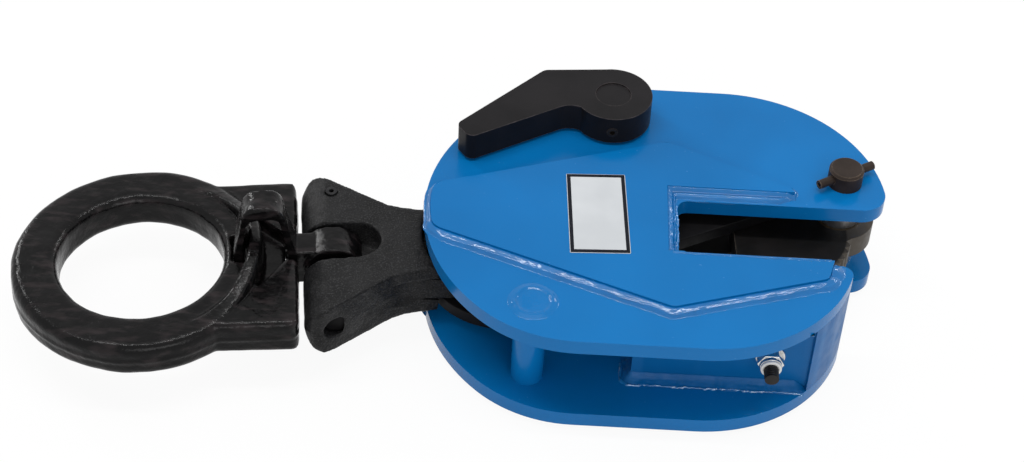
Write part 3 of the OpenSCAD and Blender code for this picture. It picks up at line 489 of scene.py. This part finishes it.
for foot, up, seed, place in ((BLOCK_FOOT, 1, 21.0, "below"), (BLOCK_HEAD, -1, 27.0, "above")):
    fill = lay_bead("jaw_block_bead_" + place, block_path, 4.2, foot, up, seed, HOLLOW, 0.16,
                    paint=block_enamel_painted_shade)
    lay_bead("jaw_block_toe_" + place, block_toe, 0.55, foot, up, seed, RIDGE, 0.6, 0.15,
             paint=weld_glint)
    if up == 1:
        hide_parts("jaw_block_welds")


# The cam pin, blackened steel, stands proud of the upper plate and is held by a spring cross pin.
# The spacers inside keep the cam in the middle between the plates.
brown_oxide = finish("brown_oxide", (0.018, 0.012, 0.009), (0.030, 0.021, 0.017), (0.40, 0.55),
                     cloud=90, grain=((900, 0.02, None),), shine=0.14,
                     edge=((0.36, 0.27, 0.19), 0.0005, 0.8))
turned_steel = finish("turned_steel", (0.40, 0.40, 0.41), (0.56, 0.56, 0.57), (0.28, 0.42),
                      cloud=120, grain=((700, 0.012, (1, 1, 8)),), metal=1.0)
break_edges("cam_pin", 0.25, brown_oxide)
break_edges("cam_pin_clip", 0.12, brown_oxide)
break_edges("cam_spacers", 0.2, turned_steel)


# The jaw bolt clamps the pad to the block. Outside the wall it has a washer and a zinc-plated
# lock nut with a white nylon ring, and the end of the bolt stands out of it with its thread.
MID_HIGH = 28.7
BOLT_X = 115
zinc_plate = finish("zinc_plate", (0.55, 0.55, 0.54), (0.78, 0.78, 0.77), (0.16, 0.30),
                    cloud=300, grain=((900, 0.015, None),), metal=1.0)
black_bolt = finish("black_bolt", (0.006, 0.005, 0.005), (0.014, 0.012, 0.011), (0.32, 0.5),
                    cloud=200, grain=((1200, 0.02, None),), shine=0.2)
white_nylon = finish("white_nylon", (0.70, 0.70, 0.68), (0.82, 0.82, 0.80), (0.32, 0.42),
                     cloud=200, grain=((900, 0.01, None),))
break_edges("jaw_bolt", 0.1, black_bolt)
break_edges("jaw_washer", 0.1, zinc_plate)
break_edges("jaw_nut", 0.2, zinc_plate)


def turned(name, outline, paint, smooth=False):
    """A turned piece on the jaw bolt's axis, from pairs of radius and place along it, in mm."""
    shape = bmesh.new()
    rings = []
    for r, y in outline:
        turns = [math.pi * i / 24 for i in range(48)]
        rings.append([shape.verts.new(spot(BOLT_X + r * math.cos(a), y, MID_HIGH + r * math.sin(a)))
                      for a in turns])
    skin(shape, rings)
    piece = new_piece(name, shape, paint, smooth)
    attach(piece, "frame")


thread = [(2.6, -59.8)]
for pitch in range(6):
    thread += [(3.15, -60.3 - pitch), (3.15, -60.55 - pitch),
               (2.75, -60.85 - pitch), (2.75, -61.0 - pitch)]
turned("bolt_thread", thread + [(2.9, -66.4), (2.5, -66.75)], black_bolt)
nylon = [(3.2, -59.5), (4.5, -59.5), (4.5, -60.7), (4.1, -61.1), (3.4, -61.1), (3.2, -60.8)]
turned("nut_nylon_ring", nylon, white_nylon, smooth=True)


# The toothed steel pad that swivels in the block's seat, and the blackened cam that bites
# against it. Both have machined teeth, which show bare steel where the plate rubs them.
TEETH_MIDDLE, TEETH_NEAR, TEETH_FAR = spot(123, 18), 0.0286, 0.0296
dark_teeth = finish("dark_teeth", (0.06, 0.055, 0.05), (0.20, 0.19, 0.18), (0.30, 0.48),
                    cloud=260, grain=((700, 0.03, None),), metal=0.8,
                    edge=((0.55, 0.54, 0.52), 0.0005, 0.8))
cam_oxide = finish("cam_oxide", (0.004, 0.004, 0.004), (0.009, 0.008, 0.008), (0.40, 0.55),
                   cloud=60, grain=((200, 0.05, None), (1100, 0.02, None)), shine=0.12,
                   bare=((0.075, 0.066, 0.056), TEETH_MIDDLE, TEETH_NEAR, TEETH_FAR),
                   edge=((0.34, 0.29, 0.23), 0.0004, 0.8))
bronze = finish("bronze", (0.030, 0.020, 0.010), (0.06, 0.042, 0.022), (0.35, 0.5), cloud=90,
                shine=0.2, grain=((600, 0.012, None),))
break_edges("jaw_pad", 0.12, dark_teeth, steps=1)
break_edges("cam", 0.15, cam_oxide, steps=1)
break_edges("cam_bush", 0.15, bronze)


# The two coupling plates, cut from blackened plate, with the pins that join them to cam and arm.
# Each pin has a groove and a retaining ring at either end.
black_rings = finish("black_rings", (0.006, 0.006, 0.007), (0.014, 0.014, 0.015), (0.28, 0.4),
                     cloud=300, grain=((900, 0.012, None),), shine=0.2)
plate_oxide = finish("plate_oxide", (0.0035, 0.0035, 0.0040), (0.0065, 0.0060, 0.0065),
                     (0.45, 0.6), cloud=60, grain=((260, 0.04, None), (1000, 0.02, None)),
                     shine=0.10)
for plate in ("upper_coupling", "lower_coupling"):
    break_edges(plate, 0.4, plate_oxide)
for pin in ("link_pin", "arm_pin", "spring_post"):
    break_edges(pin, 0.2, turned_steel)
for rings in ("link_pin_rings", "arm_pin_rings"):
    break_edges(rings, 0.1, black_rings)


# The lock lever, a blackened steel handle on a round boss, pinned to the shaft through both plates.
# Below it are a washer, the shaft's retaining ring and the crank that stretches the lock spring.
oxide = finish("oxide", (0.0060, 0.0055, 0.0062), (0.0100, 0.0090, 0.0100), (0.34, 0.48),
               cloud=40, grain=((150, 0.05, None), (1100, 0.014, None)), shine=0.11,
               edge=((0.13, 0.11, 0.11), 0.0006, 0.6))
break_edges("lock_lever", 0.7, oxide, steps=3)
break_edges("lever_shaft", 0.35, oxide)
break_edges("lever_pin", 0.15, black_bolt)
break_edges("lever_washer", 0.15, turned_steel)
break_edges("shaft_ring", 0.15, turned_steel)
break_edges("lock_crank", 0.3, oxide)
break_edges("lock_spring", 0.0, turned_steel)


# The hoist arm, a forked casting in rough matt black with the mould's parting line round its edge.
# Its cross pin is locked by a roll pin that comes up in the far ear.
SWING = math.radians(7)
CROSS_PIN, RING_MIDDLE = -75, (-158.1, -2)
NECK_STEP, NECK_HALF, TAIL_RADIUS = -36.5, 6.2, 35.9
STEP_LONG, STEP_BACK = 14, 3.3
EAR_FACE, MOUTH_REACH = -26, 13
PIN_CLEAR, RING_CLEAR, PARTING_HALF = 11, 44, 0.9
EAR_GAP = ((-73.0, -39.8), (-66.5, -35.3), (-66.5, -33.4), (-73.0, -37.9))
cast_black = finish("cast_black", (0.0040, 0.0040, 0.0043), (0.009, 0.009, 0.0095),
                    (0.34, 0.52), cloud=70, shine=0.13,
                    grain=((300, 0.30, (1, 0.6, 1)), (1000, 0.28, None)),
                    specks=((0.026, 0.026, 0.027), 1500, 0.42))


def from_arm_pin(place):
    """Millimetres along and across the hoist, and up, from the arm pin."""
    flat = (place - ARM_PIN) / MM
    return (flat.x * math.cos(SWING) + flat.y * math.sin(SWING),
            flat.y * math.cos(SWING) - flat.x * math.sin(SWING), flat.z)


def back_in_place(along, across, high):
    """The place that from_arm_pin measured."""
    return spot(along * math.cos(SWING) - across * math.sin(SWING),
                along * math.sin(SWING) + across * math.cos(SWING), high)


def add_metal(mesh, corners, low, high):
    """Adds an upright prism to a solid's mesh, which the casting then takes in."""
    shape = bmesh.new()
    shape.from_mesh(mesh)
    skin(shape, [[shape.verts.new(back_in_place(x, y, z)) for x, y in corners]
                 for z in (low, high)])
    shape.to_mesh(mesh)
    shape.free()


def as_cast(name, cell, smooth, lumps, parting, reshape, paint, body, gap=None):
    """Copies a solid with melted edges: remeshed, smoothed, drawn to its cast shape, then worked
    with a casting's unevenness. lumps lists (waves per metre, depth in mm), and parting is the
    height of the line left by the mould."""
    piece = bpy.data.objects.new(name + "_casting", node[name].data.copy())
    if gap:
        add_metal(piece.data, gap, MID_HIGH - 4.5, MID_HIGH + 4.5)
    bpy.context.scene.collection.objects.link(piece)
    step = piece.modifiers.new("joined", "NODES")
    step.node_group = joined
    even = piece.modifiers.new("cells", "REMESH")
    even.mode = "VOXEL"
    even.voxel_size = cell * MM
    even.use_smooth_shade = True
    soft = piece.modifiers.new("melted", "SMOOTH")
    soft.factor = 0.5
    soft.iterations = smooth
    bpy.context.view_layer.update()
    ready = piece.evaluated_get(bpy.context.evaluated_depsgraph_get())
    mesh = bpy.data.meshes.new_from_object(ready)
    piece.modifiers.clear()
    piece.data = mesh
    for point in mesh.vertices:
        point.co = back_in_place(*reshape(*from_arm_pin(point.co)))
    mesh.update()
    moved = []
    for point in mesh.vertices:
        along, across, high = from_arm_pin(point.co)
        push = sum(depth * MM * noise.noise(point.co * waves) for waves, depth in lumps)
        from_ring = math.hypot(along - RING_MIDDLE[0], across - RING_MIDDLE[1])
        if abs(along - CROSS_PIN) > PIN_CLEAR and from_ring > RING_CLEAR:
            upright = max(0.0, 0.7 - abs(point.normal.z))
            push += parting * MM * upright * math.exp(-((high - MID_HIGH) / PARTING_HALF) ** 2)
        moved.append(point.co + point.normal * push)
    for point, place in zip(mesh.vertices, moved):
        point.co = place
    for face in mesh.polygons:
        face.use_smooth = True
    mesh.materials.clear()
    mesh.materials.append(paint)
    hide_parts(name)
    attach(piece, body)


def arm_shape(along, across, high):
    """Draws the thick part of the arm out to a circle round the pin, under the side plate's edge,
    and opens the mouth of the cross pin's hole in the near ear."""
    far = math.hypot(along - CROSS_PIN, high - MID_HIGH)
    if across < EAR_FACE and 1 < far < MOUTH_REACH:
        deep = min(1.0, (EAR_FACE - across) / 6)
        wider = 1 + 1.5 * deep * min(1.0, (MOUTH_REACH - far) / 7) / far
        along = CROSS_PIN + (along - CROSS_PIN) * wider
        high = MID_HIGH + (high - MID_HIGH) * wider
    if NECK_STEP - STEP_LONG < along < NECK_STEP and abs(high - MID_HIGH) > NECK_HALF:
        half = min(20.0, abs(across))
        reach = TAIL_RADIUS - math.sqrt(TAIL_RADIUS ** 2 - half ** 2) + 0.6
        drawn = (reach + STEP_BACK) * min(1.0, (along - NECK_STEP + STEP_LONG) / 10)
        along += drawn - STEP_BACK * max(0.0, along - NECK_STEP + 4) / 4
    return along, across, high


as_cast("hoist_arm", 0.8, 4, ((60, 0.35), (220, 0.18)), 0.16, arm_shape, cast_black,
        "arm", gap=EAR_GAP)
break_edges("cross_pin", 0.3, plate_oxide)
break_edges("cross_pin_lock", 0.12, black_rings)


# The connecting link, a forging in thick glossy black paint: a knuckle on the cross pin and a
# tall eye round the rib of the ring.
EYE_MIDDLE, EYE_HALF, EYE_HIGH = -104.6, 13.6, 34.3
LEG_FROM, LEG_TO, LEG_THICKER = -116.5, -110, 1.2
# The lighter brownish streaks laid into this black are partly scuffs in the paint and partly painted
# sheen, standing for lamp light caught by the wavy paint.
gloss_black = finish("gloss_black", (0.0018, 0.0018, 0.0020), (0.0042, 0.0039, 0.0042),
                     (0.08, 0.24), cloud=30, shine=0.14,
                     grain=((110, 0.30, None), (420, 0.22, None), (1500, 0.012, None)),
                     streaks=((0.022, 0.017, 0.018), 240, (0.35, 1, 1), 0.8))


def forged_eye(along, across, high):
    """Thickens the eye's leg inside the ring, and draws its two ends out to round arches."""
    thicker = LEG_THICKER * max(0.0, 1 - ((high - MID_HIGH) / 12) ** 2)
    along += thicker * max(0.0, min(1.0, (along - LEG_FROM) / 2, (LEG_TO - along) / 3.5))
    reach = abs(high - EYE_HIGH)
    if reach > 14:
        share = min(1.0, abs(along - EYE_MIDDLE) / EYE_HALF)
        crown = 0.5 * (1 - share ** 2) - 6.5 * max(0.0, share - 0.35) ** 2
        reach += min(1.0, (reach - 14) / 8) * crown
        high = EYE_HIGH + math.copysign(reach, high - EYE_HIGH)
    return along, across, high


as_cast("connecting_link", 0.6, 3, ((90, 0.45), (260, 0.22)), 0, forged_eye, gloss_black,
        "link")


# The lifting ring, drop-forged with a square shoulder and a rib that stands up under the link's eye.
# It has the same wavy black paint, and a line round its rim where the dies met.
RING_HALF, RIB_RADIUS, RIB_HALF = 8.5, 49.75, 3.4
RIB_INSIDE, RIB_OUTSIDE, RIB_END = 46.0, 53.6, -158


def round_rib(along, across, high):
    """Rounds the flat-topped rib that the eye holds, inside and outside its middle line."""
    far = math.hypot(along - RING_MIDDLE[0], across - RING_MIDDLE[1])
    rise = abs(high - MID_HIGH) - RING_HALF
    if along > RIB_END and RIB_INSIDE < far < RIB_OUTSIDE and rise > 0.1:
        share = min(1.0, abs(far - RIB_RADIUS) / RIB_HALF)
        power = 5.0 if far < RIB_RADIUS else 3.5
        lower = RING_HALF + rise * (1 - share ** power) ** 0.5
        high = MID_HIGH + math.copysign(lower, high - MID_HIGH)
    return along, across, high


as_cast("lifting_ring", 0.8, 4, ((55, 0.40), (180, 0.16)), 0.5, round_rib, gloss_black,
        "ring")


# The label on the upper reinforcing plate: a thin white plastic sheet with a black border and a
# plain white face, glued on a few degrees out of line, its upper edges a little rounded.
ARROW_TOP = PLATE_TOP + ARROW_THICK
LABEL_X, LABEL_Y, LABEL_TURN = 39.6, -1.0, math.radians(3.0)
label_white = finish("label_white", (0.465, 0.485, 0.505), (0.515, 0.535, 0.555), (0.30, 0.42),
                     cloud=40, shine=0.3, grain=((500, 0.006, None),))
label_ink = finish("label_ink", (0.004, 0.005, 0.008), (0.006, 0.007, 0.012), (0.3, 0.42),
                   cloud=60, shine=0.1, grain=((500, 0.006, None),))


def label_sheet(name, half_x, half_y, low, high, corner, paint):
    """One layer of the label, with rounded corners and its upper edge broken."""
    outline = []
    for sx, sy, start in ((1, 1, 0), (-1, 1, 90), (-1, -1, 180), (1, -1, 270)):
        for i in range(5):
            a = math.radians(start + 22.5 * i)
            outline.append((sx * (half_x - corner) + corner * math.cos(a),
                            sy * (half_y - corner) + corner * math.sin(a)))
    cos, sin = math.cos(LABEL_TURN), math.sin(LABEL_TURN)
    shape = bmesh.new()
    rings = []
    for z, grow in ((low, 0.0), (high - 0.06, 0.0), (high, -0.08)):
        wide = [(x * (1 + grow / half_x), y * (1 + grow / half_y)) for x, y in outline]
        rings.append([shape.verts.new(spot(LABEL_X + x * cos - y * sin, LABEL_Y + x * sin + y * cos, z))
                      for x, y in wide])
    skin(shape, rings)
    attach(new_piece(name, shape, paint, smooth=False), "frame")


label_sheet("label_sheet", 12.95, 24.75, ARROW_TOP - 0.05, ARROW_TOP + 0.22, 0.5, label_white)
label_sheet("label_border", 12.7, 24.55, ARROW_TOP, ARROW_TOP + 0.28, 0.3, label_ink)
label_sheet("label_face", 11.1, 22.75, ARROW_TOP, ARROW_TOP + 0.34, 0.2, label_white)


# The studio: a pale floor that reads as white, with softboxes above and in front, and narrow
# tubes above and to the sides that show as highlights in the paint.
FLOOR_HALF, FLOOR_HIGH = 3, -0.0002
LOOK_AT = Vector((0.02, 0, 0.03))


def white_where_seen(tree, lit, white, share):
    """Mixes a plain white into what the camera or a reflection sees, and keeps the rest lit."""
    path = tree.nodes.new("ShaderNodeLightPath")
    seen = path.outputs["Is Camera Ray"]
    for ray in ("Is Glossy Ray", "Is Transmission Ray"):
        either = wire_up(tree, "ShaderNodeMath", seen, 0)
        either.operation = "MAXIMUM"
        tree.links.new(path.outputs[ray], either.inputs[1])
        seen = either.outputs[0]
    part = wire_up(tree, "ShaderNodeMath", seen, 0)
    part.operation = "MULTIPLY"
    part.inputs[1].default_value = share
    mix = wire_up(tree, "ShaderNodeMixShader", part.outputs[0], 0)
    tree.links.new(lit.outputs[0], mix.inputs[1])
    tree.links.new(white.outputs[0], mix.inputs[2])
    return mix.outputs[0]


corners = [(x * FLOOR_HALF, y * FLOOR_HALF, FLOOR_HIGH)
           for x, y in ((-1, -1), (1, -1), (1, 1), (-1, 1))]
floor_shape = bpy.data.meshes.new("floor")
floor_shape.from_pydata(corners, [], [(0, 1, 2, 3)])
floor = bpy.data.objects.new("floor", floor_shape)
bpy.context.scene.collection.objects.link(floor)
paper = bpy.data.materials.new("white_paper")
paper.use_nodes = True
tree = paper.node_tree
matt = tree.nodes["Principled BSDF"]
matt.inputs["Base Color"].default_value = (0.86, 0.86, 0.86, 1)
matt.inputs["Roughness"].default_value = 0.9
matt.inputs["Specular IOR Level"].default_value = 0.0
glow = tree.nodes.new("ShaderNodeEmission")
glow.inputs["Color"].default_value = (1, 1, 1, 1)
glow.inputs["Strength"].default_value = 1.0
floor_seen = white_where_seen(tree, matt, glow, 0.93)
tree.links.new(floor_seen, tree.nodes["Material Output"].inputs["Surface"])
floor_shape.materials.append(paper)

world = bpy.data.worlds.new("studio")
world.use_nodes = True
bpy.context.scene.world = world
tree = world.node_tree
air = tree.nodes["Background"]
air.inputs["Color"].default_value = (1, 1, 1, 1)
air.inputs["Strength"].default_value = 0.55
bright = tree.nodes.new("ShaderNodeBackground")
bright.inputs["Color"].default_value = (1, 1, 1, 1)
bright.inputs["Strength"].default_value = 1.0
walls_seen = white_where_seen(tree, air, bright, 1.0)
tree.links.new(walls_seen, tree.nodes["World Output"].inputs["Surface"])


def soft_lamp(name, place, long, wide, watts, along=(1, 0, 0)):
    """A lamp at a place, facing the clamp, with its long side along an axis."""
    lamp = bpy.data.lights.new(name, "AREA")
    lamp.shape = "RECTANGLE"
    lamp.size, lamp.size_y = long, wide
    lamp.energy = watts
    made = bpy.data.objects.new(name, lamp)
    behind = (Vector(place) - LOOK_AT).normalized()
    right = (Vector(along) - behind * behind.dot(Vector(along))).normalized()
    made.matrix_world = placed(place, right, behind.cross(right), behind)
    bpy.context.scene.collection.objects.link(made)


soft_lamp("overhead_softbox", (-0.15, 0.10, 1.4), 1.0, 0.8, 2.7)
soft_lamp("overhead_tube", (0.0, -0.02, 1.1), 1.3, 0.035, 5.5)
soft_lamp("front_softbox", (0.4, -1.3, 0.7), 0.9, 0.6, 5)
soft_lamp("left_tube", (-1.00, 0.95, 0.78), 0.8, 0.08, 4.5, (0, 0, 1))
soft_lamp("right_tube", (1.05, 0.90, 0.78), 0.8, 0.08, 4, (0, 0, 1))
bpy.context.scene.view_settings.view_transform = "Standard"
